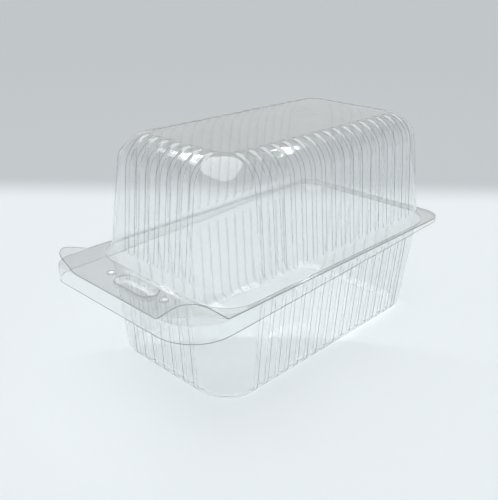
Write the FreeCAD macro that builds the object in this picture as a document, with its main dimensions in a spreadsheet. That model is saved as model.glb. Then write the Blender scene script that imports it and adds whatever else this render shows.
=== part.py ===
"""Hinged clamshell pack of clear thermoformed film: a ribbed tray and a ribbed domed lid.

The frame is X along the pack, from the front tab to the hinge, Y across it and Z up.
The origin is on the table, under the middle of the pack. All sizes are millimetres.
"""
import FreeCAD, Part
import Sketcher
import math
import os

Vector = FreeCAD.Vector

# Driving dimensions: name, value, meaning
SIZE_ROWS = [
    ("overall_length", 248.0, "front edge of the tab to the hinge fold"),
    ("overall_width", 130.0, "across the flanges"),
    ("film", 0.4, "thickness of the formed sheet"),
    ("sheet_gap", 0.1, "air between the closed flanges"),
    ("front_tab", 27.0, "front edge to the foot of the front wall"),
    ("hinge_margin", 8.0, "hinge fold to the foot of the rear wall"),
    ("side_margin", 3.0, "side edge to the foot of a long wall"),
    ("near_corner", 27.0, "tray flange radius at the near front corner"),
    ("far_corner", 13.0, "tray flange radius at the far front corner"),
    ("hinge_corner", 15.0, "flange radius at both hinge corners"),
    ("foot_corner", 23.0, "upright corner radius at the foot of the walls"),
    ("lid_corner", 10.0, "corner radius of the lid's flat panel"),
    ("base_corner", 15.0, "corner radius of the tray's flat bottom"),
    ("tray_depth", 70.0, "table to the top of the tray flange"),
    ("tray_draft", 4.3, "lean of the tray walls in degrees"),
    ("tray_rounding", 8.0, "radius between tray wall and bottom"),
    ("lid_height", 76.6, "lid flange to the top panel"),
    ("lid_draft", 5.2, "lean of the lid walls in degrees"),
    ("lid_rounding", 18.5, "radius between lid wall and top panel"),
    ("plain_band", 6.0, "smooth sloping foot of the walls below the grooves"),
    ("foot_flare", 3.0, "how far the foot slopes inwards over its height"),
    ("groove_ramp", 3.0, "height over which a groove reaches its depth"),
    ("groove_pitch", 9.25, "spacing of the grooves"),
    ("groove_width", 3.2, "width of a groove at the wall face"),
    ("groove_floor", 1.4, "width of the floor of a groove"),
    ("groove_depth", 1.3, "how far a groove is pressed inwards"),
    ("groove_margin", 3.0, "least plain edge of a panel beyond its last groove"),
    ("skirt_depth", 10.5, "tray skirt below the flange at the front"),
    ("skirt_end", 1.8, "tray skirt below the flange at the hinge"),
    ("skirt_level", 30.0, "front edge to where the skirt starts to taper"),
    ("ear_reach", 27.5, "square corner to each end of an ear's fold"),
    ("ear_corner", 13.0, "radius of an ear's tip"),
    ("near_ear_angle", 55.0, "lift of the near ear in degrees"),
    ("far_ear_angle", 26.0, "lift of the far ear in degrees"),
    ("lock_inset", 16.5, "front edge to the middle of the lock recess"),
    ("lock_length", 34.0, "lock recess across the pack"),
    ("lock_width", 13.0, "lock recess along the pack"),
    ("lock_depth", 3.5, "depth of the lock recess"),
    ("lock_draft", 12.0, "lean of the recess walls in degrees"),
    ("lock_clearance", 0.2, "air between the nested recesses"),
    ("dimple_spacing", 49.0, "between the two snap dimples"),
    ("dimple_size", 6.0, "diameter of a snap dimple"),
    ("dimple_depth", 1.2, "depth of a snap dimple"),
]

# Flat steps along each rounding, and around each upright corner
LID_STEPS = 3
TRAY_STEPS = 2
CORNER_STEPS = 4

# Four points this close to a plane, as a volume in cubic millimetres, make one face
FLATNESS = 1e-6

# Length of an ear's fold, a film short of the flange edge at each end
EAR_FOLD = "Sizes.ear_reach * sqrt(2) - 2 * Sizes.film"


# Spreadsheet

def write_sizes(doc):
    """Put the driving dimensions in a sheet, one aliased cell each."""
    sheet = doc.addObject("Spreadsheet::Sheet", "Sizes")
    for row, (name, value, meaning) in enumerate(SIZE_ROWS, start=1):
        sheet.set("A%d" % row, name)
        sheet.set("B%d" % row, str(value))
        sheet.setAlias("B%d" % row, name)
        sheet.set("C%d" % row, meaning)
    doc.recompute()
    return {name: float(sheet.get(name)) for name, _, _ in SIZE_ROWS}


def bind(item, **expressions):
    """Bind properties to the sheet; double underscores in a key stand for dots."""
    for key, expression in expressions.items():
        item.setExpression(key.replace("__", "."), expression)


# Sketched outlines

def origin_plane(body, role):
    """The body's own origin plane of that role."""
    return next(item for item in body.Origin.OriginFeatures if item.Role == role)


def new_sketch(body, name):
    """An empty sketch on the body's XY plane."""
    sketch = body.newObject("Sketcher::SketchObject", name)
    sketch.AttachmentSupport = (origin_plane(body, "XY_Plane"), "")
    sketch.MapMode = "FlatFace"
    return sketch


def hold(sketch, name, expression, *terms):
    """Add a named dimension and bind it to the sheet."""
    index = sketch.addConstraint(Sketcher.Constraint(*terms))
    sketch.renameConstraint(index, name)
    sketch.setExpression("Constraints." + name, expression)


def tangent_arc(sketch, centre, radius, start_degrees):
    """A quarter arc that starts at the given direction and turns anticlockwise."""
    circle = Part.Circle(centre, Vector(0, 0, 1), radius)
    start = math.radians(start_degrees)
    return sketch.addGeometry(Part.ArcOfCircle(circle, start, start + math.pi / 2))


def rounded_rectangle(sketch, sides, radii):
    """A rectangle with four tangent corner arcs.

    sides are (value, expression) for the front, hinge, near and far edges.
    radii are (value, expression) for the near front, near hinge, far hinge and far front corners.
    """
    (front, _), (hinge, _), (near, _), (far, _) = sides
    (ra, _), (rb, _), (rc, _), (rd, _) = radii
    near_edge = sketch.addGeometry(Part.LineSegment(Vector(front + ra, near, 0), Vector(hinge - rb, near, 0)))
    near_hinge = tangent_arc(sketch, Vector(hinge - rb, near + rb, 0), rb, -90)
    hinge_edge = sketch.addGeometry(Part.LineSegment(Vector(hinge, near + rb, 0), Vector(hinge, far - rc, 0)))
    far_hinge = tangent_arc(sketch, Vector(hinge - rc, far - rc, 0), rc, 0)
    far_edge = sketch.addGeometry(Part.LineSegment(Vector(hinge - rc, far, 0), Vector(front + rd, far, 0)))
    far_front = tangent_arc(sketch, Vector(front + rd, far - rd, 0), rd, 90)
    front_edge = sketch.addGeometry(Part.LineSegment(Vector(front, far - rd, 0), Vector(front, near + ra, 0)))
    near_front = tangent_arc(sketch, Vector(front + ra, near + ra, 0), ra, 180)
    loop = [near_edge, near_hinge, hinge_edge, far_hinge, far_edge, far_front, front_edge, near_front]
    for first, second in zip(loop, loop[1:] + loop[:1]):
        sketch.addConstraint(Sketcher.Constraint("Tangent", first, 2, second, 1))
    for edge in (near_edge, far_edge):
        sketch.addConstraint(Sketcher.Constraint("Horizontal", edge))
    for edge in (front_edge, hinge_edge):
        sketch.addConstraint(Sketcher.Constraint("Vertical", edge))
    hold(sketch, "front_x", sides[0][1], "DistanceX", -1, 1, front_edge, 1, front)
    hold(sketch, "hinge_x", sides[1][1], "DistanceX", -1, 1, hinge_edge, 1, hinge)
    hold(sketch, "near_y", sides[2][1], "DistanceY", -1, 1, near_edge, 1, near)
    hold(sketch, "far_y", sides[3][1], "DistanceY", -1, 1, far_edge, 1, far)
    arcs = [near_front, near_hinge, far_hinge, far_front]
    for arc, name, (radius, expression) in zip(arcs, "abcd", radii):
        hold(sketch, "corner_" + name, expression, "Radius", arc, radius)


def slot_outline(sketch, length, width):
    """A slot along Y about the origin; length and width are (value, expression)."""
    radius = width[0] / 2
    end = length[0] / 2 - radius
    right = sketch.addGeometry(Part.LineSegment(Vector(radius, -end, 0), Vector(radius, end, 0)))
    top_circle = Part.Circle(Vector(0, end, 0), Vector(0, 0, 1), radius)
    top = sketch.addGeometry(Part.ArcOfCircle(top_circle, 0, math.pi))
    left = sketch.addGeometry(Part.LineSegment(Vector(-radius, end, 0), Vector(-radius, -end, 0)))
    bottom_circle = Part.Circle(Vector(0, -end, 0), Vector(0, 0, 1), radius)
    bottom = sketch.addGeometry(Part.ArcOfCircle(bottom_circle, math.pi, 2 * math.pi))
    loop = [right, top, left, bottom]
    for first, second in zip(loop, loop[1:] + loop[:1]):
        sketch.addConstraint(Sketcher.Constraint("Tangent", first, 2, second, 1))
    sketch.addConstraint(Sketcher.Constraint("Vertical", right))
    sketch.addConstraint(Sketcher.Constraint("Symmetric", top, 3, bottom, 3, -1, 1))
    centres = "(%s) - (%s)" % (length[1], width[1])
    hold(sketch, "radius", "(%s) / 2" % width[1], "Radius", top, radius)
    hold(sketch, "centres", centres, "DistanceY", bottom, 3, top, 3, 2 * end)


def padded_body(doc, name, draw, thickness):
    """A body with one pad upwards from its XY plane; draw fills its sketch."""
    body = doc.addObject("PartDesign::Body", name)
    sketch = new_sketch(body, name + "_outline")
    draw(sketch)
    pad = body.newObject("PartDesign::Pad", name + "_pad")
    pad.Profile = sketch
    bind(pad, Length=thickness)
    sketch.Visibility = False
    return body, pad


# Flange and skirt

def flange_sides(size, inset=0.0):
    """Edges of the flange outline, moved inwards by inset film thicknesses."""
    half_length = size["overall_length"] / 2 - inset * size["film"]
    half_width = size["overall_width"] / 2 - inset * size["film"]
    along = "Sizes.overall_length / 2 - %g * Sizes.film" % inset
    across = "Sizes.overall_width / 2 - %g * Sizes.film" % inset
    return [
        (-half_length, "-(%s)" % along),
        (half_length, along),
        (-half_width, "-(%s)" % across),
        (half_width, across),
    ]


def flange_radii(size, names, inset=0.0):
    """Corner radii of the flange outline, in the order of rounded_rectangle."""
    return [(size[name] - inset * size["film"], "Sizes.%s - %g * Sizes.film" % (name, inset)) for name in names]


def flange_plate(doc, size, name, corners, underside):
    """A flat flange of film thickness whose underside is at the given height."""
    def draw(sketch):
        rounded_rectangle(sketch, flange_sides(size), flange_radii(size, corners))
    body, _ = padded_body(doc, name, draw, "Sizes.film")
    bind(body, Placement__Base__z=underside)
    return body


def skirt(doc, size, corners):
    """The wall that hangs from the tray flange's edge, lower towards the hinge."""
    def draw_outer(sketch):
        rounded_rectangle(sketch, flange_sides(size), flange_radii(size, corners))

    def draw_inner(sketch):
        rounded_rectangle(sketch, flange_sides(size, 1), flange_radii(size, corners, 1))
    outer, _ = padded_body(doc, "skirt_outer", draw_outer, "Sizes.skirt_depth")
    inner, _ = padded_body(doc, "skirt_inner", draw_inner, "Sizes.skirt_depth")
    for body in (outer, inner):
        bind(body, Placement__Base__z="Sizes.tray_depth - Sizes.skirt_depth")
    ring = cut(doc, "skirt_ring", outer, inner)
    wedge = doc.addObject("Part::Wedge", "skirt_taper")
    wedge.Placement = FreeCAD.Placement(Vector(0, 0, 0), FreeCAD.Rotation(Vector(0, 0, 1), -90))
    reach = "Sizes.overall_width"
    floor = "Sizes.tray_depth - 2 * Sizes.skirt_depth"
    bind(wedge, Xmin="-" + reach, Xmax=reach, X2min="-" + reach, X2max=reach)
    bind(wedge, Ymin="-Sizes.overall_length / 2 + Sizes.skirt_level", Ymax="Sizes.overall_length / 2")
    bind(wedge, Zmin=floor, Z2min=floor)
    bind(wedge, Zmax="Sizes.tray_depth - Sizes.skirt_depth", Z2max="Sizes.tray_depth - Sizes.skirt_end")
    return cut(doc, "skirt", ring, wedge)


# Grooved cups

def panel_inset(flare, depth, draft, rounding):
    """How far a cup's flat panel lies inside the foot of its walls."""
    lean = math.radians(draft)
    tangent = depth - rounding * (1 - math.sin(lean))
    return flare + tangent * math.tan(lean) + rounding * math.cos(lean)


def groove_count(size, foot_length):
    """Grooves that fit across the narrower panel of the two cups, for a wall of that length at its foot."""
    flare = size["foot_flare"]
    tray_inset = panel_inset(flare, size["tray_depth"], size["tray_draft"], size["tray_rounding"])
    lid_inset = panel_inset(flare, size["lid_height"], size["lid_draft"], size["lid_rounding"])
    panel = foot_length - 2 * max(tray_inset, lid_inset)
    room = panel - 2 * size["groove_margin"] - size["groove_width"]
    return int(room / size["groove_pitch"]) + 1


def cup_levels(cup, inward):
    """Height from the rim and inset of each level, for the face that lies inward of the outer one."""
    lean = math.radians(cup["draft"])
    flare = cup["foot_flare"]
    centre = panel_inset(flare, cup["depth"], cup["draft"], cup["rounding"])
    radius = cup["rounding"] - inward
    levels = [(0.0, inward / math.cos(lean))]
    for height in (cup["plain_band"], cup["plain_band"] + cup["groove_ramp"]):
        levels.append((height, flare + height * math.tan(lean) + inward / math.cos(lean)))
    for step in range(cup["steps"] + 1):
        turn = lean + (math.pi / 2 - lean) * step / cup["steps"]
        height = cup["depth"] - cup["rounding"] + radius * math.sin(turn)
        levels.append((height, centre - radius * math.cos(turn)))
    return levels


def groove_shares(cup):
    """How much of its depth a groove has at each level: none in the plain band and at the panel."""
    shares = [0.0, 0.0, 1.0, 1.0]
    for step in range(1, cup["steps"] + 1):
        shares.append(math.sqrt(1 - (step / cup["steps"]) ** 2))
    return shares


def groove_stations(cup, count):
    """Places along a wall, as (distance from its middle, True on the groove's floor)."""
    stations = []
    for index in range(count):
        middle = (index - (count - 1) / 2) * cup["groove_pitch"]
        for shift, pressed in ((-cup["groove_width"], False), (-cup["groove_floor"], True),
                               (cup["groove_floor"], True), (cup["groove_width"], False)):
            stations.append((middle + shift / 2, pressed))
    return stations


def corner_dip(along, half, radius):
    """How far the rounded corner lies inside the straight wall at a place along it."""
    past = abs(along) - (half - radius)
    if past <= 0:
        return 0.0
    return radius - math.sqrt(max(radius ** 2 - past ** 2, 0.0))


def cup_loop(cup, level, inward):
    """The points of one closed section of a cup's face."""
    share = groove_shares(cup)[level]
    rim_height, rim_inset = cup_levels(cup, inward)[level]
    floor_height, floor_inset = cup_levels(cup, inward + share * cup["groove_depth"])[level]
    insets = [inset for _, inset in cup_levels(cup, 0.0)]
    wall_end = insets[-1 - cup["steps"]]
    turned = max(insets[level] - wall_end, 0.0) / (insets[-1] - wall_end)
    radius = cup["foot_corner"] - (cup["foot_corner"] - cup["panel_corner"]) * turned - inward
    halves = (cup["half_length"] - rim_inset, cup["half_width"] - rim_inset)
    counts = (cup["long_grooves"], cup["short_grooves"])
    margin = cup["groove_width"] / 2
    points = []
    for side in range(4):
        run = Vector(*[(1, 0), (0, 1), (-1, 0), (0, -1)][side], 0)
        out = Vector(run.y, -run.x, 0)
        half, reach = halves[side % 2], halves[1 - side % 2]
        for along, pressed in groove_stations(cup, counts[side % 2]):
            inset = floor_inset - rim_inset if pressed else 0.0
            height = floor_height if pressed else rim_height
            distance = reach - corner_dip(along, half, radius) - inset
            points.append(cup_point(cup, run * along + out * distance, height))
        last = groove_stations(cup, counts[side % 2])[-1][0] + margin
        after = groove_stations(cup, counts[1 - side % 2])[-1][0] + margin
        start = math.asin(max(last - (half - radius), 0.0) / radius)
        end = math.acos(max(after - (reach - radius), 0.0) / radius)
        for step in range(CORNER_STEPS + 1):
            turn = start + (end - start) * step / CORNER_STEPS
            place = run * (half - radius + radius * math.sin(turn)) + out * (reach - radius + radius * math.cos(turn))
            points.append(cup_point(cup, place, rim_height))
    return points


def cup_point(cup, place, height):
    """A point of a cup from its place in plan and its height from the rim."""
    return Vector(cup["middle"] + place.x, place.y, cup["rim"] + cup["way"] * height)


def polygon(points):
    """A closed wire through the points."""
    return Part.makePolygon(points + points[:1])


def patch(a, b, c, d):
    """One flat face through four points, or two triangles where they are not in a plane."""
    if abs((b - a).cross(c - a).dot(d - a)) < FLATNESS:
        return [Part.Face(polygon([a, b, c, d]))]
    return [Part.Face(polygon([a, b, c])), Part.Face(polygon([a, c, d]))]


def cup_film(cup):
    """The formed film of a cup: outer face, inner face, panel and rim as one closed solid."""
    faces = []
    rims = []
    for inward in (0.0, cup["film"]):
        loops = [cup_loop(cup, level, inward) for level in range(len(groove_shares(cup)))]
        rims.append(Part.Face(polygon(loops[0])))
        faces.append(Part.Face(polygon(loops[-1])))
        for lower, upper in zip(loops, loops[1:]):
            turned = zip(lower, lower[1:] + lower[:1], upper[1:] + upper[:1], upper)
            for corners in turned:
                faces.extend(patch(*corners))
    faces.extend(rims[0].cut(rims[1]).Faces)
    solid = Part.makeSolid(Part.makeShell(faces))
    if solid.Volume < 0:
        solid.reverse()
    return solid.removeSplitter()


def cup_sizes(size, rim, way, depth, draft, rounding, corner, steps):
    """Everything that one cup's formulas need, read from the sheet."""
    shared = ("film", "foot_corner", "plain_band", "foot_flare", "groove_ramp", "groove_pitch",
              "groove_width", "groove_floor", "groove_depth")
    cup = {name: size[name] for name in shared}
    length = size["overall_length"] - size["front_tab"] - size["hinge_margin"]
    width = size["overall_width"] - 2 * size["side_margin"]
    cup.update(half_length=length / 2, half_width=width / 2)
    cup.update(long_grooves=groove_count(size, length), short_grooves=groove_count(size, width))
    cup["middle"] = (size["front_tab"] - size["hinge_margin"]) / 2
    cup.update(rim=rim, way=way, depth=depth, draft=draft, rounding=rounding)
    cup.update(panel_corner=corner, steps=steps)
    return cup


def cup_features(doc, cup, name, plate_bottom):
    """The cup's film, and the plug that opens its mouth through the flange."""
    film = doc.addObject("Part::Feature", name + "_film")
    film.Shape = cup_film(cup)
    mouth = doc.addObject("Part::Feature", name + "_mouth")
    loop = [Vector(point.x, point.y, plate_bottom) for point in cup_loop(cup, 0, cup["film"])]
    mouth.Shape = Part.Face(polygon(loop)).extrude(Vector(0, 0, cup["film"]))
    return film, mouth


# Lock recess and snap dimples

def recess(doc, size, name, shrink, top, depth):
    """A slot pressed down from the given height, its mouth smaller than the lock by shrink all round.

    shrink is (value, expression); top and depth are expressions.
    """
    def draw(sketch):
        length = (size["lock_length"] - 2 * shrink[0], "Sizes.lock_length - 2 * (%s)" % shrink[1])
        width = (size["lock_width"] - 2 * shrink[0], "Sizes.lock_width - 2 * (%s)" % shrink[1])
        slot_outline(sketch, length, width)
    body, pad = padded_body(doc, name, draw, depth)
    pad.Reversed = True
    bind(pad, TaperAngle="-Sizes.lock_draft")
    bind(body, Placement__Base__x="Sizes.lock_inset - Sizes.overall_length / 2", Placement__Base__z=top)
    return body


def dimple(doc, name, side, shrink, top, depth):
    """A shallow cone pressed down from the given height; side is -1 near and 1 far."""
    cone = doc.addObject("Part::Cone", name)
    radius = "Sizes.dimple_size / 2 - (%s)" % shrink
    bind(cone, Radius2=radius, Radius1="(%s) / 2" % radius, Height=depth)
    bind(cone, Placement__Base__x="Sizes.lock_inset - Sizes.overall_length / 2")
    bind(cone, Placement__Base__y="%d * Sizes.dimple_spacing / 2" % side)
    bind(cone, Placement__Base__z="(%s) - (%s)" % (top, depth))
    return cone


def tray_pressings(doc, size):
    """Outer blanks and cavities of the tray's lock recess and dimples."""
    top = "Sizes.tray_depth"
    blanks = [recess(doc, size, "tray_lock_blank", (-size["film"], "-Sizes.film"), top,
                     "Sizes.lock_depth + Sizes.film")]
    cavities = [recess(doc, size, "tray_lock_cavity", (0.0, "0"), top, "Sizes.lock_depth")]
    for side, word in ((-1, "near"), (1, "far")):
        blanks.append(dimple(doc, "tray_%s_dimple_blank" % word, side, "-Sizes.film", top,
                             "Sizes.dimple_depth + Sizes.film"))
        cavities.append(dimple(doc, "tray_%s_dimple_cavity" % word, side, "0", top, "Sizes.dimple_depth"))
    return blanks, cavities


def lid_pressings(doc, size):
    """Outer blanks and cavities of the lid's lock recess and dimples, nested in the tray's."""
    clearance = size["lock_clearance"]
    outer = (clearance, "Sizes.lock_clearance")
    inner = (clearance + size["film"], "Sizes.lock_clearance + Sizes.film")
    bottom = "Sizes.tray_depth + Sizes.sheet_gap"
    top = bottom + " + Sizes.film"
    drop = "Sizes.lock_depth + Sizes.sheet_gap - Sizes.lock_clearance"
    blanks = [recess(doc, size, "lid_lock_blank", outer, bottom, drop)]
    cavities = [recess(doc, size, "lid_lock_cavity", inner, top, drop)]
    drop = "Sizes.dimple_depth + Sizes.sheet_gap - Sizes.lock_clearance"
    for side, word in ((-1, "near"), (1, "far")):
        blanks.append(dimple(doc, "lid_%s_dimple_blank" % word, side, outer[1], bottom, drop))
        cavities.append(dimple(doc, "lid_%s_dimple_cavity" % word, side, inner[1], top, drop))
    return blanks, cavities


# Ears

def ear(doc, size, name, side, angle):
    """A lid corner folded up about a slanting fold; side is -1 near and 1 far.

    The ear lies in its own frame, with Y along the fold and X out towards the square corner.
    """
    reach = size["ear_reach"]
    half = reach / math.sqrt(2) - size["film"]
    radius = size["ear_corner"]
    centre = half - radius * math.sqrt(2)
    joint = centre + radius / math.sqrt(2)
    beside = half - joint

    def draw(sketch):
        fold = sketch.addGeometry(Part.LineSegment(Vector(0, half, 0), Vector(0, -half, 0)))
        lower = sketch.addGeometry(Part.LineSegment(Vector(0, -half, 0), Vector(joint, -beside, 0)))
        circle = Part.Circle(Vector(centre, 0, 0), Vector(0, 0, 1), radius)
        tip = sketch.addGeometry(Part.ArcOfCircle(circle, -math.pi / 4, math.pi / 4))
        upper = sketch.addGeometry(Part.LineSegment(Vector(joint, beside, 0), Vector(0, half, 0)))
        sketch.addConstraint(Sketcher.Constraint("Coincident", fold, 2, lower, 1))
        sketch.addConstraint(Sketcher.Constraint("Tangent", lower, 2, tip, 1))
        sketch.addConstraint(Sketcher.Constraint("Tangent", tip, 2, upper, 1))
        sketch.addConstraint(Sketcher.Constraint("Coincident", upper, 2, fold, 1))
        sketch.addConstraint(Sketcher.Constraint("Symmetric", fold, 1, fold, 2, -1, 1))
        sketch.addConstraint(Sketcher.Constraint("Vertical", fold))
        sketch.addConstraint(Sketcher.Constraint("Perpendicular", lower, upper))
        sketch.addConstraint(Sketcher.Constraint("Equal", lower, upper))
        hold(sketch, "fold", EAR_FOLD, "DistanceY", fold, 2, fold, 1, 2 * half)
        hold(sketch, "tip_radius", "Sizes.ear_corner", "Radius", tip, radius)
    body, pad = padded_body(doc, name, draw, "Sizes.film")
    pad.Midplane = True
    middle = size["tray_depth"] + size["sheet_gap"] + size["film"] / 2
    fold_middle = Vector(reach / 2 - size["overall_length"] / 2,
                         side * (size["overall_width"] / 2 - reach / 2), middle)
    turn = FreeCAD.Rotation(Vector(0, 0, 1), 180 - 45 * side)
    lift = FreeCAD.Rotation(Vector(0, 1, 0), -size[angle])
    body.Placement = FreeCAD.Placement(fold_middle, turn.multiply(lift))
    bend = doc.addObject("Part::Cylinder", name + "_bend")
    bind(bend, Radius="Sizes.film / 2", Height=EAR_FOLD)
    bend.Placement = bend_placement(size, fold_middle, turn)
    return body, bend


def bend_placement(size, fold_middle, turn):
    """Where the bend of an ear lies: along its fold, a film short of each end."""
    along = turn.multVec(Vector(0, 1, 0))
    start = fold_middle - along * (size["ear_reach"] / math.sqrt(2) - size["film"])
    return FreeCAD.Placement(start, FreeCAD.Rotation(Vector(0, 0, 1), along))


def corner_cutter(doc, size, name, side):
    """The block that takes a square corner off the lid flange, outside the ear's fold."""
    block = doc.addObject("Part::Box", name)
    bind(block, Length="Sizes.ear_reach * 2", Width="Sizes.ear_reach * 2", Height="Sizes.film * 3")
    reach = size["ear_reach"]
    turn = FreeCAD.Rotation(Vector(0, 0, 1), 180 - 45 * side)
    fold_middle = Vector(reach / 2 - size["overall_length"] / 2,
                         side * (size["overall_width"] / 2 - reach / 2), 0)
    start = fold_middle - turn.multVec(Vector(0, reach, 0))
    start.z = size["tray_depth"] + size["sheet_gap"] - size["film"]
    block.Placement = FreeCAD.Placement(start, turn)
    return block


# Booleans and output

def cut(doc, name, base, tool):
    """Base less tool."""
    item = doc.addObject("Part::Cut", name)
    item.Base = base
    item.Tool = tool
    return item


def fuse(doc, name, shapes):
    """All the shapes as one."""
    item = doc.addObject("Part::MultiFuse", name)
    item.Shapes = shapes
    return item


def build_tray(doc, size):
    """The tray: flange, tapered skirt, grooved cup, lock recess and dimples."""
    corners = ("near_corner", "hinge_corner", "hinge_corner", "far_corner")
    plate = flange_plate(doc, size, "tray_flange", corners, "Sizes.tray_depth - Sizes.film")
    cup = cup_sizes(size, size["tray_depth"], -1, size["tray_depth"], size["tray_draft"],
                    size["tray_rounding"], size["base_corner"], TRAY_STEPS)
    film, mouth = cup_features(doc, cup, "tray_cup", size["tray_depth"] - size["film"])
    blanks, cavities = tray_pressings(doc, size)
    parts = [cut(doc, "tray_open_flange", plate, mouth), skirt(doc, size, corners), film] + blanks
    tray = cut(doc, "tray", fuse(doc, "tray_blank", parts), fuse(doc, "tray_cavities", cavities))
    tray.Label = "base_tray"
    return tray


def build_lid(doc, size):
    """The lid: flange with two lifted ears, grooved dome, lock recess and dimples."""
    underside = size["tray_depth"] + size["sheet_gap"]
    corners = ("ear_corner", "hinge_corner", "hinge_corner", "ear_corner")
    plate = flange_plate(doc, size, "lid_flange", corners, "Sizes.tray_depth + Sizes.sheet_gap")
    cup = cup_sizes(size, underside, 1, size["lid_height"], size["lid_draft"],
                    size["lid_rounding"], size["lid_corner"], LID_STEPS)
    film, mouth = cup_features(doc, cup, "lid_cup", underside)
    cutters = [mouth]
    folds = []
    for side, word in ((-1, "near"), (1, "far")):
        cutters.append(corner_cutter(doc, size, word + "_corner_cutter", side))
        folds.extend(ear(doc, size, word + "_ear", side, word + "_ear_angle"))
    blanks, cavities = lid_pressings(doc, size)
    opened = cut(doc, "lid_open_flange", plate, fuse(doc, "lid_flange_cutters", cutters))
    lid = cut(doc, "lid", fuse(doc, "lid_blank", [opened, film] + folds + blanks),
              fuse(doc, "lid_cavities", cavities))
    lid.Label = "hinged_lid"
    return lid


def check_and_export(doc, subparts):
    """Stop on a failed object or a broken shape, then write each sub-part to its STEP file."""
    for item in doc.Objects:
        if "Invalid" in item.State or "Error" in item.State:
            raise RuntimeError("object %s did not recompute: %s" % (item.Name, item.State))
    for item in subparts:
        if item.Shape.isNull() or not item.Shape.isValid():
            raise RuntimeError("sub-part %s has no valid shape" % item.Label)
        if len(item.Shape.Solids) != 1:
            raise RuntimeError("sub-part %s has %d solids" % (item.Label, len(item.Shape.Solids)))
    os.makedirs("parts", exist_ok=True)
    for item in subparts:
        item.Shape.exportStep("parts/%s.step" % item.Label)


def main():
    """Build the pack and write its sub-parts."""
    doc = FreeCAD.newDocument("ClamshellPack")
    size = write_sizes(doc)
    subparts = [build_tray(doc, size), build_lid(doc, size)]
    doc.recompute()
    check_and_export(doc, subparts)


main()
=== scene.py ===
"""Looks of the clear plastic clamshell pack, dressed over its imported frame.

The pack is one sheet of clear PET, thermoformed into a ribbed tray and a ribbed lid that share a fold.
Each half is built as the one face of the sheet that shows, and a Solidify modifier gives it the film's
thickness. Sizes in this file are millimetres, and MM turns them into Blender's metres.
"""

import math

import bpy
from mathutils import Matrix, Vector
from mathutils.geometry import delaunay_2d_cdt


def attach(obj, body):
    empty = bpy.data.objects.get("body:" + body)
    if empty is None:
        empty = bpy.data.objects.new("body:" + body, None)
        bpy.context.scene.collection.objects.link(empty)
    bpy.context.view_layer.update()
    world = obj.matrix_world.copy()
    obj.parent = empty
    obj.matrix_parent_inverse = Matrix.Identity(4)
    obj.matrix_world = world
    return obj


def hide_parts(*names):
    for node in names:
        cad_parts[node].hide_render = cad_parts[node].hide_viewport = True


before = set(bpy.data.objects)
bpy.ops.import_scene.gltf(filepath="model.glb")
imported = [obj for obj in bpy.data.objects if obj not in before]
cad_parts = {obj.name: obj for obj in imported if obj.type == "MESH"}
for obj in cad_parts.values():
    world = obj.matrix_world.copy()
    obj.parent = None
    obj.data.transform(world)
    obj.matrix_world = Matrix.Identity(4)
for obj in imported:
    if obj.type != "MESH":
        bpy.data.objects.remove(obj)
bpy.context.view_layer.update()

MM = 0.001

# Overall sizes, the same as the frame's
LENGTH = 248.0
WIDTH = 130.0
FILM = 0.4
SHEET_GAP = 0.1
FRONT_TAB = 27.0
HINGE_MARGIN = 8.0
SIDE_MARGIN = 3.0
NEAR_CORNER = 27.0
FAR_CORNER = 13.0
HINGE_CORNER = 15.0

# Cups
FOOT_CORNER = 23.0
LID_CORNER = 10.0
BASE_CORNER = 15.0
FOOT_FLARE = 3.0
TRAY_DEPTH = 70.0
TRAY_DRAFT = math.radians(4.3)
TRAY_ROUNDING = 8.0
TRAY_FOOT_BEND = 0.8
LID_HEIGHT = 76.6
LID_DRAFT = math.radians(5.2)
LID_ROUNDING = 18.5
LID_FOOT_BEND = 0.6
BASE_LIFT = 0.03
CUP_MIDDLE = (FRONT_TAB - HINGE_MARGIN) / 2
HALF_LENGTH = (LENGTH - FRONT_TAB - HINGE_MARGIN) / 2
HALF_WIDTH = WIDTH / 2 - SIDE_MARGIN

# Facets that cut across the roundings at the corners: the slant's angle and the depth of the cut
TRAY_FACETS = ((math.radians(45.0), 0.8),)
LID_FACETS = ((math.radians(44.0), 0.75), (math.radians(58.0), 0.65))
FACET_END = math.radians(86.0)

# Shallow sunk edge of the flat panels: inset from the rounding's end and drop
PANEL_EDGE = ((0.25, 0.03), (0.55, 0.17), (0.85, 0.2), (1.6, 0.2))

# Fineness of the visible mesh
CORNER_STEPS = 18
TRAY_STEPS = 8
LID_STEPS = 14
FOOT_STEPS = 5
BAND_STEPS = 5
RAMP_STEPS = 5
WALL_STEPS = 4
BEND_STEPS = 5
PRESSED_STEPS = 4
SLOT_STEPS = 14
DIMPLE_STEPS = 28
TRAY_OUTLINE_STEP = 1.6
LID_OUTLINE_STEP = 1.2
FEWEST_CORNER_STEPS = 6
COLUMN_END = math.radians(40.0)
FLAT_RING = 0.4
MERGE_DISTANCE = 1e-5
SHARP_ANGLE = math.radians(38.0)

# Grooves, pressed into the cups
PLAIN_BAND = 6.0
GROOVE_RAMP = 3.0
GROOVE_PITCH = 9.25
GROOVE_DEPTH = 1.3
LONG_GROOVES = 17
SHORT_GROOVES = 7
GROOVE_COLUMNS = (-2.7, -1.75, -1.2, -0.7, 0.0, 0.7, 1.2, 1.75, 2.7)
GROOVE_FLOOR_HALF = 0.7
GROOVE_HALF = 1.75
FLARE_BEND = 1.2

# Skirt, hanging from the tray's flange
SKIRT_DEPTH = 10.5
SKIRT_END = 1.8
SKIRT_LEVEL = 30.0
SKIRT_BEND = 0.9

# Cut edges of the film: the width of the band along the edge that is painted dark as shade, and how far the
# lid's lies inside the tray's
TRIM = 0.28
LID_TRIM = 0.1

# Ears of the lid
EAR_REACH = 27.5
EAR_CORNER = 13.0
EAR_BEND = 1.6
EAR_BULGE = 2.0
EAR_ROWS = 4
EAR_COLUMNS = 16
EAR_FLAT = 0.4
EAR_MARGIN = 0.5
NEAR_EAR_ANGLE = math.radians(55.0)
FAR_EAR_ANGLE = math.radians(26.0)

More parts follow.
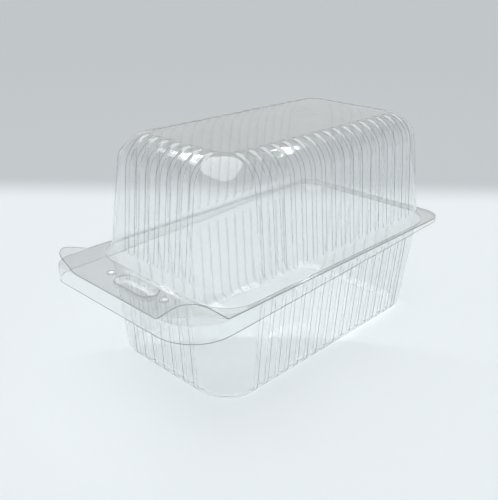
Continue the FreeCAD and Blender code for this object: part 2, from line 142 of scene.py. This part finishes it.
# Lock recess and snap dimples of the front tab
LOCK_INSET = 16.5
LOCK_LENGTH = 34.0
LOCK_WIDTH = 13.0
LOCK_DEPTH = 3.5
LOCK_DRAFT = math.radians(12.0)
LOCK_CLEARANCE = 0.2
TRAY_LOCK_BEND = 0.45
LID_LOCK_BEND = 0.7
LOCK_FLOOR_BEND = 0.9
DIMPLE_SPACING = 49.0
DIMPLE_SIZE = 6.0
DIMPLE_DEPTH = 1.2
DIMPLE_BEND = 0.6
DIMPLE_FLOOR_BEND = 0.5

# Photograph: the camera, in the part's frame
CAMERA_PLACE = (-306.8, -279.0, 239.2)
CAMERA_YAW = math.radians(43.73)
CAMERA_PITCH = math.radians(23.45)
CAMERA_ROLL = math.radians(0.606)
FOCAL_PIXELS = 661.8
IMAGE_WIDTH = 498
SENSOR_WIDTH = 36.0

# Studio
BACKDROP_DISTANCE = 310.0
BACKDROP_BLEND = 45.0
FLOOR_HALF = 9000.0
FLOOR_DROP = 0.3
LAMP_AIM = 70.0


# Sheet: the vertices and faces of one formed half

class Sheet:
    """One face of a formed sheet, built loop by loop from its outer edge inwards."""

    def __init__(self):
        self.points = []
        self.faces = []
        self.trimmed = []

    def loop(self, points):
        """Adds a closed loop, counter-clockwise seen from above, and returns its vertex numbers."""
        start = len(self.points)
        self.points.extend(Vector(point) for point in points)
        return list(range(start, len(self.points)))

    def join(self, outer, inner, trimmed=False):
        """Adds the band between two loops of as many vertices; a marked band takes the edge material,
        painted dark along the cut edge as painted shade.
        """
        if trimmed:
            self.trimmed.extend(range(len(self.faces), len(self.faces) + len(outer)))
        for place in range(len(outer)):
            after = (place + 1) % len(outer)
            self.faces.append((outer[place], outer[after], inner[after], inner[place]))

    def sweep(self, loops):
        """Adds the loops one after another with the bands between them, and returns them all."""
        numbers = [self.loop(points) for points in loops]
        for outer, inner in zip(numbers, numbers[1:]):
            self.join(outer, inner)
        return numbers

    def fill(self, loop):
        """Closes a loop with one flat face."""
        self.faces.append(tuple(loop))

    def plate(self, outer, holes, height, extra=()):
        """Fills the flat area between an outer loop and the holes in it; extra are points to use inside."""
        extra_numbers = self.loop((x, y, height) for x, y in extra)
        numbers = list(outer) + [number for hole in holes for number in hole] + extra_numbers
        flat = [Vector((self.points[number].x, self.points[number].y)) for number in numbers]
        edges = []
        start = 0
        for loop in [outer] + list(holes):
            count = len(loop)
            edges.extend((start + place, start + (place + 1) % count) for place in range(count))
            start += count
        found = delaunay_2d_cdt(flat, edges, [], 1, MERGE_DISTANCE)
        source = [origin[0] for origin in found[3]]
        rings = [[flat_point(self.points[number]) for number in hole] for hole in holes]
        for triangle in found[2]:
            corners = [numbers[source[corner]] for corner in triangle]
            middle = sum((flat_point(self.points[number]) for number in corners), Vector((0, 0))) / 3
            if not any(inside(middle, ring) for ring in rings):
                self.faces.append(tuple(corners))

    def piece(self, name, materials):
        """Makes the Blender object, with the film's thickness behind the face."""
        mesh = bpy.data.meshes.new(name)
        mesh.from_pydata([point * MM for point in self.points], [], self.faces)
        mesh.update()
        mesh.shade_smooth()
        # The marked edge bands take the second material, the cut edge painted dark grey-green as painted
        # shade; the Solidify rims take it too.
        for face in self.trimmed:
            mesh.polygons[face].material_index = 1
        for material in materials:
            mesh.materials.append(material)
        made = bpy.data.objects.new(name, mesh)
        bpy.context.scene.collection.objects.link(made)
        thickness = made.modifiers.new("film", "SOLIDIFY")
        thickness.thickness = FILM * MM
        thickness.offset = -1.0
        thickness.use_even_offset = True
        thickness.material_offset_rim = 1
        graph = bpy.context.evaluated_depsgraph_get()
        solid = bpy.data.meshes.new_from_object(made.evaluated_get(graph))
        made.modifiers.clear()
        made.data = solid
        solid.set_sharp_from_angle(angle=SHARP_ANGLE)
        return made


def flat_point(point):
    """A point's place in plan."""
    return Vector((point.x, point.y))


def inside(point, ring):
    """True where the point lies inside the closed ring, in plan."""
    found = False
    for first, second in zip(ring, ring[1:] + ring[:1]):
        if (first.y > point.y) != (second.y > point.y):
            crossing = first.x + (point.y - first.y) / (second.y - first.y) * (second.x - first.x)
            if point.x < crossing:
                found = not found
    return found


# Cups: wall, rounding, grooves and panel

def panel_inset(cup):
    """How far the flat panel's edge lies inside the cup's rim."""
    lean = cup["draft"]
    tangent = cup["depth"] - cup["rounding"] * (1 - math.sin(lean))
    return FOOT_FLARE + tangent * math.tan(lean) + cup["rounding"] * math.cos(lean)


def corner_radius(cup, inset):
    """The upright corner's radius: the same down the wall, and smaller over the rounding."""
    wall_end = panel_inset(cup) - cup["rounding"] * math.cos(cup["draft"])
    turned = max(inset - cup["inward"] - wall_end, 0.0) / (panel_inset(cup) - wall_end)
    return FOOT_CORNER - (FOOT_CORNER - cup["panel_corner"]) * turned - cup["inward"]


def smooth_step(share):
    """A share from 0 to 1 that starts and ends gently."""
    share = min(max(share, 0.0), 1.0)
    return share * share * (3 - 2 * share)


def cup_section(cup):
    """Levels of a cup's visible face: inset, height from the rim, turn from upright, and groove share."""
    lean = cup["draft"]
    inward = cup["inward"]
    start = cup["flange_height"]
    slope = math.atan(FOOT_FLARE / PLAIN_BAND + math.tan(lean))
    corner = inward / math.cos(slope) + start * math.tan(slope)
    foot = cup["foot_bend"]
    reach = foot * math.tan((math.pi / 2 - slope) / 2)
    section = [(corner - reach - FLAT_RING, start, lean, 0.0)]
    for step in range(FOOT_STEPS + 1):
        angle = (math.pi / 2 - slope) * step / FOOT_STEPS
        inset = corner - reach + foot * math.sin(angle)
        section.append((inset, start + foot - foot * math.cos(angle), lean, 0.0))
    tangent = cup["depth"] - cup["rounding"] * (1 - math.sin(lean))
    band = [PLAIN_BAND + FLARE_BEND * (2 * step / BAND_STEPS - 1) for step in range(BAND_STEPS + 1)]
    ramp = [PLAIN_BAND + GROOVE_RAMP * step / RAMP_STEPS for step in range(RAMP_STEPS + 1)]
    ramp = [height for height in ramp if height > band[-1] + FLAT_RING]
    wall = [ramp[-1] + (tangent - ramp[-1]) * step / WALL_STEPS for step in range(1, WALL_STEPS)]
    for height in band + ramp + wall:
        share = smooth_step((height - PLAIN_BAND) / GROOVE_RAMP)
        turned = (height - PLAIN_BAND + FLARE_BEND) / (2 * FLARE_BEND)
        short = FOOT_FLARE / PLAIN_BAND * FLARE_BEND
        flare = FOOT_FLARE - short * max(1.0 - turned, 0.0) ** 2
        section.append((inward / math.cos(lean) + flare + height * math.tan(lean), height, lean, share))
    centre = panel_inset(cup)
    radius = cup["rounding"] - inward
    for step in range(cup["steps"] + 1):
        share = step / cup["steps"]
        turn = lean + (math.pi / 2 - lean) * share
        height = cup["depth"] - cup["rounding"] + radius * math.sin(turn)
        section.append((centre - radius * math.cos(turn), height, turn, math.sqrt(1 - share ** 2)))
    last_inset, last_height = section[-1][:2]
    for inset, drop in PANEL_EDGE:
        section.append((last_inset + inset, last_height - drop, math.pi / 2, 0.0))
    return section


def groove_columns(count):
    """Places along a wall, each with its share of a groove's depth."""
    columns = []
    for groove in range(count):
        middle = (groove - (count - 1) / 2) * GROOVE_PITCH
        for offset in GROOVE_COLUMNS:
            share = smooth_step((GROOVE_HALF - abs(offset)) / (GROOVE_HALF - GROOVE_FLOOR_HALF))
            columns.append((middle + offset, share))
    return columns


def corner_dip(along, half, radius):
    """How far the rounded corner lies inside the straight wall at a place along it."""
    past = abs(along) - (half - radius)
    if past <= 0:
        return 0.0
    return radius - math.sqrt(max(radius ** 2 - past ** 2, 0.0))


def last_column(half, radius, count):
    """The last column's place along a wall, drawn in where it would pass the corner's middle."""
    limit = half - radius + radius * math.sin(COLUMN_END)
    return min((count - 1) / 2 * GROOVE_PITCH + GROOVE_COLUMNS[-1], limit)


def cup_loop(cup, level):
    """One closed loop of a cup's visible face."""
    inset, height, turn, share = level
    radius = corner_radius(cup, inset)
    halves = (HALF_LENGTH - inset, HALF_WIDTH - inset)
    counts = (LONG_GROOVES, SHORT_GROOVES)
    points = []
    for side in range(4):
        run = Vector(((1, 0), (0, 1), (-1, 0), (0, -1))[side])
        out = Vector(((0, -1), (1, 0), (0, 1), (-1, 0))[side])
        half, reach = halves[side % 2], halves[1 - side % 2]
        columns = groove_columns(counts[side % 2])
        last = last_column(half, radius, counts[side % 2])
        after = last_column(reach, radius, counts[1 - side % 2])
        for column, groove in columns:
            along = column * last / columns[-1][0]
            sink = GROOVE_DEPTH * share * groove
            distance = reach - corner_dip(along, half, radius) - sink * math.cos(turn)
            points.append(cup_point(cup, run * along + out * distance, height - sink * math.sin(turn), turn))
        start = math.asin(min(max(last - (half - radius), 0.0) / radius, 1.0))
        end = math.acos(min(max(after - (reach - radius), 0.0) / radius, 1.0))
        for step in range(1, CORNER_STEPS):
            angle = start + (end - start) * step / CORNER_STEPS
            place = run * (half - radius + radius * math.sin(angle))
            place += out * (reach - radius + radius * math.cos(angle))
            points.append(cup_point(cup, place, height, turn))
    return points


def cup_point(cup, place, height, turn):
    """A point of a cup from its place in plan, from the cup's middle, and its height from the rim."""
    height = facet_height(cup, place, height, turn)
    return Vector((CUP_MIDDLE + place[0], place[1], cup["rim"] + cup["way"] * height))


def facet_height(cup, place, height, turn):
    """The height brought down to the corner facets, which cut across the rounding."""
    if turn > FACET_END:
        return height
    slant = (abs(place[0]) - HALF_LENGTH + abs(place[1]) - HALF_WIDTH) / math.sqrt(2)
    for angle, limit in cup["facets"]:
        most = (limit - slant * math.cos(angle)) / math.sin(angle)
        height = min(height, most)
    return height


def facet_limits(cup, facets):
    """The facets as (angle, limit) from (angle, cut): how deep each cuts below the plain corner."""
    limits = []
    for angle, cut in facets:
        reaches = []
        for inset, height, _, _ in cup_section(cup):
            slant = -(inset * math.sqrt(2) + corner_radius(cup, inset) * (math.sqrt(2) - 1))
            reaches.append(slant * math.cos(angle) + height * math.sin(angle))
        limits.append((angle, max(reaches) - cut))
    return limits


def add_cup(sheet, cup):
    """Adds a cup to the sheet and returns the loop at its foot, where the flange begins."""
    loops = sheet.sweep(cup_loop(cup, level) for level in cup_section(cup))
    sheet.fill(loops[-1])
    return loops[0]


# Flange: outline, skirt, recess, dimples and ears

def rounded_outline(radii, inset, step):
    """The flange's outline; radii are hinge near, hinge far, front far and front near."""
    half_length, half_width = LENGTH / 2, WIDTH / 2
    corners = ((1, -1), (1, 1), (-1, 1), (-1, -1))
    points = []
    for number, (along, across) in enumerate(corners):
        radius = radii[number]
        centre = Vector((along * (half_length - radius), across * (half_width - radius)))
        start = math.radians(-90.0 + 90.0 * number)
        count = max(FEWEST_CORNER_STEPS, math.ceil(radius * math.pi / 2 / step))
        for place in range(count + 1):
            angle = start + math.pi / 2 * place / count
            points.append(centre + (radius - inset) * Vector((math.cos(angle), math.sin(angle))))
        ahead = corners[(number + 1) % 4]
        next_radius = radii[(number + 1) % 4]
        next_centre = Vector((ahead[0] * (half_length - next_radius),
                              ahead[1] * (half_width - next_radius)))
        side = Vector((math.cos(start + math.pi / 2), math.sin(start + math.pi / 2)))
        first = points[-1]
        last = next_centre + (next_radius - inset) * side
        pieces = max(1, round((last - first).length / step))
        points.extend(first.lerp(last, place / pieces) for place in range(1, pieces))
    return points


def slot_loop(half_straight, radius):
    """A slot's outline with round ends, its long way across the pack."""
    points = []
    for end in (1, -1):
        for place in range(SLOT_STEPS + 1):
            angle = math.pi * place / SLOT_STEPS + (0 if end > 0 else math.pi)
            across = end * half_straight + radius * math.sin(angle)
            points.append((LOCK_INSET - LENGTH / 2 + radius * math.cos(angle), across))
    return points


def dimple_loop(side, radius):
    """A dimple's round outline; side is -1 near and 1 far."""
    along, across = LOCK_INSET - LENGTH / 2, side * DIMPLE_SPACING / 2
    turns = [2 * math.pi * place / DIMPLE_STEPS for place in range(DIMPLE_STEPS)]
    return [(along + radius * math.cos(turn), across + radius * math.sin(turn)) for turn in turns]


def pressed_profile(depth, slope, mouth, foot):
    """A pressing's section as (inset, drop): a bend at the mouth, a sloping wall and a bend at the floor."""
    turn = math.pi / 2 - slope
    mouth_reach = mouth * math.tan(turn / 2)
    foot_reach = foot * math.tan(turn / 2)
    profile = [(-mouth_reach - FLAT_RING, 0.0)]
    for step in range(PRESSED_STEPS + 1):
        angle = turn * step / PRESSED_STEPS
        profile.append((-mouth_reach + mouth * math.sin(angle), mouth - mouth * math.cos(angle)))
    bottom = depth * math.tan(slope)
    for step in range(PRESSED_STEPS + 1):
        angle = turn * (1 - step / PRESSED_STEPS)
        profile.append((bottom + foot_reach - foot * math.sin(angle), depth - foot + foot * math.cos(angle)))
    profile.append((bottom + foot_reach + FLAT_RING, depth))
    return profile


def add_lock(sheet, height, shrink, depth, mouth):
    """Adds the oblong lock recess and returns its mouth's loop."""
    half_straight = (LOCK_LENGTH - LOCK_WIDTH) / 2
    loops = []
    for inset, drop in pressed_profile(depth, LOCK_DRAFT, mouth, LOCK_FLOOR_BEND):
        outline = slot_loop(half_straight, LOCK_WIDTH / 2 - shrink - inset)
        loops.append([(x, y, height - drop) for x, y in outline])
    numbers = sheet.sweep(loops)
    sheet.fill(numbers[-1])
    return numbers[0]


def add_dimple(sheet, side, height, shrink, depth):
    """Adds one snap dimple and returns its mouth's loop."""
    radius = DIMPLE_SIZE / 2 - shrink
    slope = math.atan(radius / 2 / depth)
    loops = []
    for inset, drop in pressed_profile(depth, slope, DIMPLE_BEND, DIMPLE_FLOOR_BEND):
        loops.append([(x, y, height - drop) for x, y in dimple_loop(side, radius - inset)])
    numbers = sheet.sweep(loops)
    sheet.fill(numbers[-1])
    return numbers[0]


def skirt_bottom(x):
    """How far the skirt hangs below the flange at a place along the pack."""
    level_end = SKIRT_LEVEL - LENGTH / 2
    share = min(max((x - level_end) / (LENGTH / 2 - level_end), 0.0), 1.0)
    return SKIRT_DEPTH + (SKIRT_END - SKIRT_DEPTH) * share


def add_skirt(sheet, radii):
    """Adds the tray's hanging skirt and the bend over its top, and returns the bend's inner loop."""
    outline = rounded_outline(radii, 0.0, TRAY_OUTLINE_STEP)
    bottom = [(point.x, point.y, TRAY_DEPTH - skirt_bottom(point.x)) for point in outline]
    cut = sheet.loop(bottom)
    # The first loop, TRIM above the skirt's bottom, bounds the band painted dark as shade along the skirt's
    # cut edge.
    loops = [[(x, y, z + TRIM) for x, y, z in bottom]]
    for share in (0.5, 0.0):
        loop = []
        for point in outline:
            drop = SKIRT_BEND + (skirt_bottom(point.x) - SKIRT_BEND) * share
            loop.append((point.x, point.y, TRAY_DEPTH - drop))
        loops.append(loop)
    for step in range(1, BEND_STEPS + 1):
        angle = math.pi / 2 * step / BEND_STEPS
        height = TRAY_DEPTH - SKIRT_BEND * (1 - math.sin(angle))
        bend = rounded_outline(radii, SKIRT_BEND * (1 - math.cos(angle)), TRAY_OUTLINE_STEP)
        loops.append([(point.x, point.y, height) for point in bend])
    flat = rounded_outline(radii, SKIRT_BEND + FLAT_RING, TRAY_OUTLINE_STEP)
    loops.append([(point.x, point.y, TRAY_DEPTH) for point in flat])
    numbers = sheet.sweep(loops)
    sheet.join(cut, numbers[0], trimmed=True)
    return numbers[-1]


def ear_frame(side):
    """The middle of an ear's fold in plan, and the way out to its tip."""
    middle = Vector((EAR_REACH / 2 - LENGTH / 2, side * (WIDTH / 2 - EAR_REACH / 2)))
    return middle, Vector((-1, side)).normalized()


def ear_rows(side, angle):
    """Points on and near an ear's fold, in rows along it, for the bend to follow."""
    middle, out = ear_frame(side)
    along = Vector((-out.y, out.x))
    half = EAR_REACH / math.sqrt(2)
    rows = []
    for row in range(-1, EAR_ROWS + 2):
        past = EAR_BEND * angle * row / EAR_ROWS + (EAR_FLAT if row > EAR_ROWS else 0.0)
        for step in range(1 - EAR_COLUMNS, EAR_COLUMNS):
            place = step / EAR_COLUMNS
            start = -EAR_BULGE * (1 - place ** 2)
            if abs(past + start) + abs(place) * half < half - EAR_MARGIN:
                rows.append(middle + along * (place * half) + out * (past + start))
    return rows


def lift_ears(points):
    """Folds the lid flange's two front corners up about their slightly bowed folds."""
    half = EAR_REACH / math.sqrt(2)
    for side, angle in ((-1, NEAR_EAR_ANGLE), (1, FAR_EAR_ANGLE)):
        middle, out = ear_frame(side)
        along = Vector((-out.y, out.x))
        for point in points:
            offset = flat_point(point) - middle
            place = min(max(offset.dot(along) / half, -1.0), 1.0)
            start = -EAR_BULGE * (1 - place ** 2)
            past = offset.dot(out) - start
            if past > 0:
                turned = min(past / EAR_BEND, angle)
                rest = past - turned * EAR_BEND
                reach = EAR_BEND * math.sin(turned) + rest * math.cos(turned)
                point.z += EAR_BEND * (1 - math.cos(turned)) + rest * math.sin(turned)
                point.x += out.x * (reach - past)
                point.y += out.y * (reach - past)


# Materials

def linear(code):
    """An sRGB hex colour as Blender's linear red, green, blue and alpha."""
    channels = [int(code[start:start + 2], 16) / 255 for start in (1, 3, 5)]
    straight = [value / 12.92 if value <= 0.04045 else ((value + 0.055) / 1.055) ** 2.4
                for value in channels]
    return (*straight, 1.0)


def add_node(tree, kind, settings=None, values=None, links=None):
    """Adds a node with its settings, its sockets' values and the sockets that feed it."""
    node = tree.nodes.new(kind)
    for name, value in (settings or {}).items():
        setattr(node, name, value)
    for name, value in (values or {}).items():
        node.inputs[name].default_value = value
    for name, source in (links or {}).items():
        tree.links.new(source, node.inputs[name])
    return node


def new_material(name):
    """An empty node material and its tree."""
    material = bpy.data.materials.new(name)
    material.use_nodes = True
    material.node_tree.nodes.clear()
    return material, material.node_tree


def clear_pet():
    """Thermoformed clear PET: nearly clear film with a faint grey-green cast and glossy, wavy faces."""
    material, tree = new_material("thermoformed_clear_pet")
    place = add_node(tree, "ShaderNodeTexCoord")
    waves = add_node(tree, "ShaderNodeTexNoise", values={"Scale": 60.0, "Detail": 2.0},
                     links={"Vector": place.outputs["Object"]})
    rough = add_node(tree, "ShaderNodeMapRange", values={"To Min": 0.02, "To Max": 0.07},
                     links={"Value": waves.outputs["Fac"]})
    bump = add_node(tree, "ShaderNodeBump", values={"Strength": 0.12, "Distance": 0.0006},
                    links={"Height": waves.outputs["Fac"]})
    film = add_node(tree, "ShaderNodeBsdfPrincipled",
                    values={"Base Color": linear("#f9fafa"), "IOR": 1.575, "Transmission Weight": 0.985},
                    links={"Roughness": rough.outputs["Result"], "Normal": bump.outputs["Normal"]})
    clear = add_node(tree, "ShaderNodeBsdfTransparent", values={"Color": linear("#fefefe")})
    path = add_node(tree, "ShaderNodeLightPath")
    mixed = add_node(tree, "ShaderNodeMixShader",
                     links={0: path.outputs["Is Shadow Ray"], 1: film.outputs[0], 2: clear.outputs[0]})
    add_node(tree, "ShaderNodeOutputMaterial", links={"Surface": mixed.outputs[0]})
    return material


def cut_edge_with_painted_shade():
    """The sheared edge of the PET film, painted an opaque dark grey-green: painted shade for the dark line a
    clear film's edge shows by refraction, laid on the real cut edge and on a thin band beside it.
    """
    material, tree = new_material("sheared_pet_edge_painted_shade")
    place = add_node(tree, "ShaderNodeTexCoord")
    nicks = add_node(tree, "ShaderNodeTexNoise", values={"Scale": 900.0, "Detail": 3.0},
                     links={"Vector": place.outputs["Object"]})
    tone = add_node(tree, "ShaderNodeMix", {"data_type": "RGBA"},
                    values={6: linear("#75817c"), 7: linear("#a6b0ab")}, links={0: nicks.outputs["Fac"]})
    edge = add_node(tree, "ShaderNodeBsdfPrincipled", values={"Roughness": 0.35, "IOR": 1.575},
                    links={"Base Color": tone.outputs[2]})
    add_node(tree, "ShaderNodeOutputMaterial", links={"Surface": edge.outputs[0]})
    return material


def studio_floor():
    """A matt pale sweep, a little greyer beyond a soft straight change well behind the pack."""
    material, tree = new_material("matt_studio_sweep")
    place = add_node(tree, "ShaderNodeTexCoord")
    parts = add_node(tree, "ShaderNodeSeparateXYZ", links={"Vector": place.outputs["Object"]})
    share = add_node(tree, "ShaderNodeMapRange", {"interpolation_type": "SMOOTHSTEP"},
                     values={"From Min": (BACKDROP_DISTANCE - BACKDROP_BLEND) * MM,
                             "From Max": (BACKDROP_DISTANCE + BACKDROP_BLEND) * MM},
                     links={"Value": parts.outputs["X"]})
    tone = add_node(tree, "ShaderNodeMix", {"data_type": "RGBA"},
                    values={6: linear("#e7edf0"), 7: linear("#c2c7ca")}, links={0: share.outputs["Result"]})
    floor = add_node(tree, "ShaderNodeBsdfDiffuse", links={"Color": tone.outputs[2]})
    add_node(tree, "ShaderNodeOutputMaterial", links={"Surface": floor.outputs[0]})
    return material


# Halves of the pack

def tray_cup():
    """The tray's cup: its inner face shows, from the flange's top down."""
    cup = {"rim": TRAY_DEPTH, "way": -1, "depth": TRAY_DEPTH - BASE_LIFT, "draft": TRAY_DRAFT,
           "rounding": TRAY_ROUNDING, "inward": FILM, "flange_height": 0.0, "foot_bend": TRAY_FOOT_BEND,
           "steps": TRAY_STEPS, "panel_corner": BASE_CORNER}
    cup["facets"] = facet_limits(cup, TRAY_FACETS)
    return cup


def lid_cup():
    """The lid's cup: its outer face shows, from the flange's top up."""
    cup = {"rim": TRAY_DEPTH + SHEET_GAP, "way": 1, "depth": LID_HEIGHT, "draft": LID_DRAFT,
           "rounding": LID_ROUNDING, "inward": 0.0, "flange_height": FILM, "foot_bend": LID_FOOT_BEND,
           "steps": LID_STEPS, "panel_corner": LID_CORNER}
    cup["facets"] = facet_limits(cup, LID_FACETS)
    return cup


def build_tray(materials):
    """The tray: skirt, flange with its pressings, and the deep ribbed cup."""
    sheet = Sheet()
    rim = add_skirt(sheet, (HINGE_CORNER, HINGE_CORNER, FAR_CORNER, NEAR_CORNER))
    foot = add_cup(sheet, tray_cup())
    lock = add_lock(sheet, TRAY_DEPTH, 0.0, LOCK_DEPTH, TRAY_LOCK_BEND)
    dimples = [add_dimple(sheet, side, TRAY_DEPTH, 0.0, DIMPLE_DEPTH) for side in (-1, 1)]
    sheet.plate(rim, [foot, lock] + dimples, TRAY_DEPTH)
    return sheet.piece("ribbed_tray", materials)


def build_lid(materials):
    """The lid: flange with its pressings and lifted ears, and the domed ribbed cup."""
    sheet = Sheet()
    top = TRAY_DEPTH + SHEET_GAP + FILM
    radii = (HINGE_CORNER, HINGE_CORNER, EAR_CORNER, EAR_CORNER)
    # The band of TRIM width at the flange's outer edge takes the edge material: a dark painted shade line.
    outer = rounded_outline(radii, LID_TRIM, LID_OUTLINE_STEP)
    inner = rounded_outline(radii, LID_TRIM + TRIM, LID_OUTLINE_STEP)
    cut = sheet.loop((point.x, point.y, top) for point in outer)
    rim = sheet.loop((point.x, point.y, top) for point in inner)
    sheet.join(cut, rim, trimmed=True)
    foot = add_cup(sheet, lid_cup())
    lock_drop = LOCK_DEPTH + SHEET_GAP - LOCK_CLEARANCE
    lock = add_lock(sheet, top, LOCK_CLEARANCE + FILM, lock_drop, LID_LOCK_BEND)
    dimple_drop = DIMPLE_DEPTH + SHEET_GAP - LOCK_CLEARANCE
    dimples = [add_dimple(sheet, side, top, LOCK_CLEARANCE + FILM, dimple_drop) for side in (-1, 1)]
    rows = ear_rows(-1, NEAR_EAR_ANGLE) + ear_rows(1, FAR_EAR_ANGLE)
    before = len(sheet.points)
    sheet.plate(rim, [foot, lock] + dimples, top, rows)
    lift_ears([sheet.points[number] for number in cut + rim] + sheet.points[before:])
    return sheet.piece("ribbed_lid", materials)


# Studio

def add_camera():
    """The camera, at the photograph's place, direction and focal length."""
    level = math.cos(CAMERA_PITCH)
    forward = Vector((level * math.cos(CAMERA_YAW), level * math.sin(CAMERA_YAW), -math.sin(CAMERA_PITCH)))
    level_right = forward.cross(Vector((0, 0, 1))).normalized()
    level_up = level_right.cross(forward)
    right = level_right * math.cos(CAMERA_ROLL) + level_up * math.sin(CAMERA_ROLL)
    up = level_up * math.cos(CAMERA_ROLL) - level_right * math.sin(CAMERA_ROLL)
    lens = bpy.data.cameras.new("camera")
    lens.sensor_width = SENSOR_WIDTH
    lens.sensor_fit = "HORIZONTAL"
    lens.lens = FOCAL_PIXELS / IMAGE_WIDTH * SENSOR_WIDTH
    camera = bpy.data.objects.new("camera", lens)
    turn = Matrix((right, up, -forward)).transposed().to_4x4()
    camera.matrix_world = Matrix.Translation(Vector(CAMERA_PLACE) * MM) @ turn
    bpy.context.scene.collection.objects.link(camera)
    bpy.context.scene.camera = camera


def add_floor():
    """The floor just under the tray; its own X runs away from the camera."""
    mesh = bpy.data.meshes.new("floor")
    half = FLOOR_HALF * MM
    corners = [(-half, -half, 0), (half, -half, 0), (half, half, 0), (-half, half, 0)]
    mesh.from_pydata(corners, [], [(0, 1, 2, 3)])
    mesh.materials.append(studio_floor())
    floor = bpy.data.objects.new("floor", mesh)
    floor.rotation_euler.z = CAMERA_YAW
    floor.location.z = -FLOOR_DROP * MM
    bpy.context.scene.collection.objects.link(floor)


def add_light(name, kind, place, power, **settings):
    """A lamp at a place in metres that looks at the middle of the pack."""
    data = bpy.data.lights.new(name, kind)
    data.energy = power
    for setting, value in settings.items():
        setattr(data, setting, value)
    lamp = bpy.data.objects.new(name, data)
    lamp.location = Vector(place)
    aim = Vector((0, 0, LAMP_AIM * MM)) - lamp.location
    lamp.rotation_euler = aim.to_track_quat("-Z", "Y").to_euler()
    bpy.context.scene.collection.objects.link(lamp)


def add_world():
    """Studio surroundings: pale grey at the horizon, dimmer above, as a room is over a lit table."""
    world = bpy.data.worlds.new("studio")
    bpy.context.scene.world = world
    world.use_nodes = True
    tree = world.node_tree
    tree.nodes.clear()
    place = add_node(tree, "ShaderNodeTexCoord")
    parts = add_node(tree, "ShaderNodeSeparateXYZ", links={"Vector": place.outputs["Generated"]})
    share = add_node(tree, "ShaderNodeMapRange", {"interpolation_type": "SMOOTHSTEP"},
                     values={"From Min": 0.1, "From Max": 0.5}, links={"Value": parts.outputs["Z"]})
    tone = add_node(tree, "ShaderNodeMix", {"data_type": "RGBA"},
                    values={6: linear("#d2d2d2"), 7: linear("#969696")}, links={0: share.outputs["Result"]})
    sky = add_node(tree, "ShaderNodeBackground", values={"Strength": 1.0}, links={"Color": tone.outputs[2]})
    add_node(tree, "ShaderNodeOutputWorld", links={"Surface": sky.outputs[0]})


add_camera()
add_world()
add_floor()
add_light("overhead", "SUN", (-0.1, 0.2, 1.0), 2.1, angle=math.radians(75.0))
add_light("hinge_strip", "AREA", (0.75, 0.0, 0.85), 0.28, shape="RECTANGLE", size=0.5, size_y=0.035)
add_light("far_strip", "AREA", (0.0, 0.75, 0.85), 0.22, shape="RECTANGLE", size=0.5, size_y=0.035)

# The second finish paints the film's cut edges and the thin bands beside them dark grey-green, as painted
# shade.
finishes = (clear_pet(), cut_edge_with_painted_shade())
tray = build_tray(finishes)
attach(tray, "base")
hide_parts("base_tray")
lid = build_lid(finishes)
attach(lid, "lid")
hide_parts("hinged_lid")

scene = bpy.context.scene
scene.view_settings.view_transform = "Standard"
scene.cycles.max_bounces = 40
scene.cycles.transmission_bounces = 40
scene.cycles.glossy_bounces = 8
scene.cycles.transparent_max_bounces = 64
